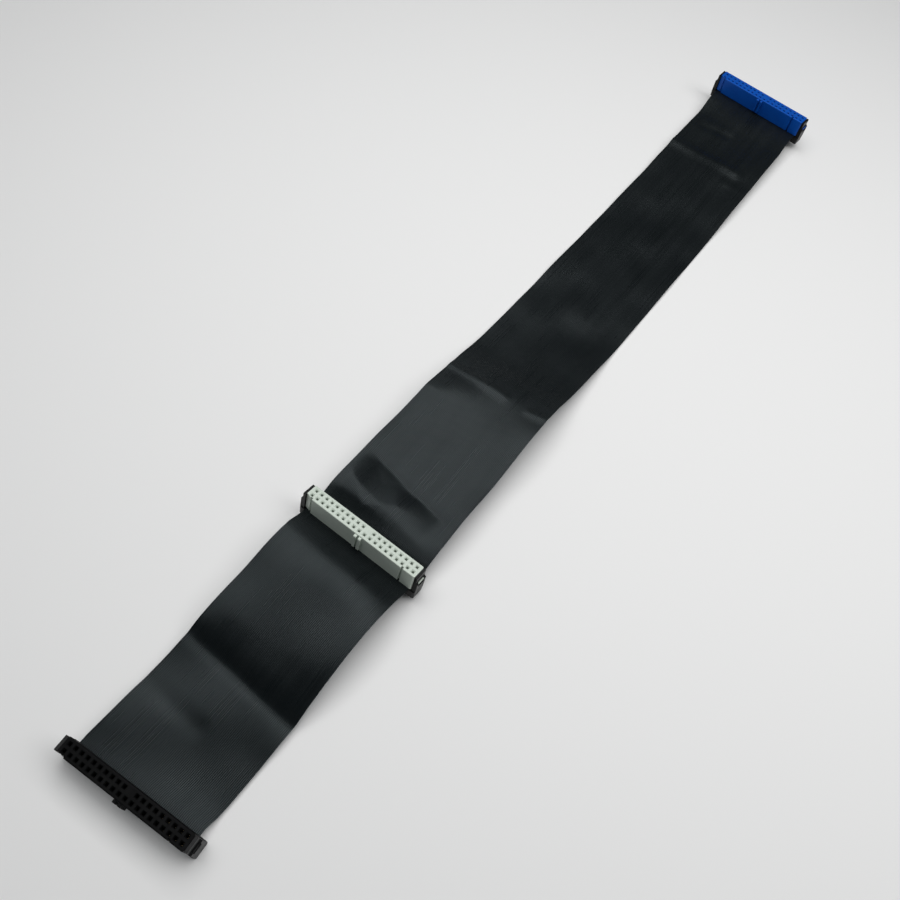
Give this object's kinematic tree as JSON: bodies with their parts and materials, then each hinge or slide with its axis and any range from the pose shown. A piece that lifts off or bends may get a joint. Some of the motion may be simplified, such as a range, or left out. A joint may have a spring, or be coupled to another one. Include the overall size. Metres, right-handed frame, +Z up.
{
  "type": "ribbon cable",
  "caption": "Flat ribbon cable with pressed-on pin sockets at its ends and part way along, in black, grey and blue, lying with gentle waves; it links drives to a board.",
  "frame": {"origin": "on the surface that the cable lies on, under the middle of its overall box", "axes": "+X along the ribbon from the black socket to the blue one, +Y across it with the keys' side of the sockets facing -X, +Z up out of the socket faces"},
  "size_m": [0.4595, 0.0562, 0.0172],
  "materials": {
    "ribbon_jacket": "satin vinyl",
    "black_plastic": "moulded, slightly glossy",
    "grey_plastic": "moulded, satin",
    "blue_plastic": "moulded, satin",
    "cover_plastic": "moulded, slightly glossy",
    "contact_metal": "plated strip",
    "bar_metal": "plain strip"
  },
  "bodies": {
    "root": {"ribbon": "ribbon_jacket", "black_housing": "black_plastic", "black_cover": "cover_plastic", "black_contacts": "contact_metal", "black_ground_bar": "bar_metal", "grey_housing": "grey_plastic", "grey_cover": "cover_plastic", "grey_contacts": "contact_metal", "grey_ground_bar": "bar_metal", "blue_housing": "blue_plastic", "blue_cover": "cover_plastic", "blue_contacts": "contact_metal", "blue_ground_bar": "bar_metal"}
  },
  "joints": []
}
